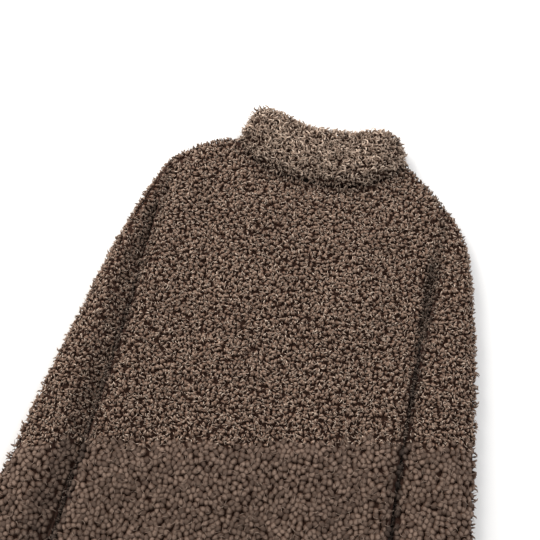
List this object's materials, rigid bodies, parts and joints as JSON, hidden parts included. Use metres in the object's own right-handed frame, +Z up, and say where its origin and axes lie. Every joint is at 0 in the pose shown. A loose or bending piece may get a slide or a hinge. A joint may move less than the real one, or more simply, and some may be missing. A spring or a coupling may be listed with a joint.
{
  "type": "curly fleece jacket",
  "caption": "Curly fleece jacket with a stand collar and a centre front zip, laid flat and face down with its sleeves beside the body.",
  "frame": {"origin": "on the surface the jacket lies on, below the middle of its plan", "axes": "+Y runs up the jacket from the hem to the collar and is its longest side, +Z points up from the surface through the fronts and then the back, +X is towards the wearer's right sleeve"},
  "size_m": [0.724, 0.7884, 0.043],
  "materials": {
    "fleece": "curly pile, matte",
    "collar_fleece": "curly pile, matte, with lighter tips",
    "zip_tape": "woven tape, matte",
    "zip_metal": "satin dark"
  },
  "bodies": {
    "jacket": {"back": "fleece", "front_left": "fleece", "front_right": "fleece", "sleeve_left": "fleece", "sleeve_right": "fleece", "collar": "collar_fleece", "zip_tape_left": "zip_tape", "zip_tape_right": "zip_tape", "zip_slider": "zip_metal"},
    "pull": {"zip_pull": "zip_metal"}
  },
  "joints": [
    {"name": "pull_swing", "type": "hinge", "parent": "jacket", "child": "pull", "pos_m": [-0.011, 0.34744, 0.0069], "axis": [1, 0, 0], "range_deg": [-14, 166]}
  ]
}
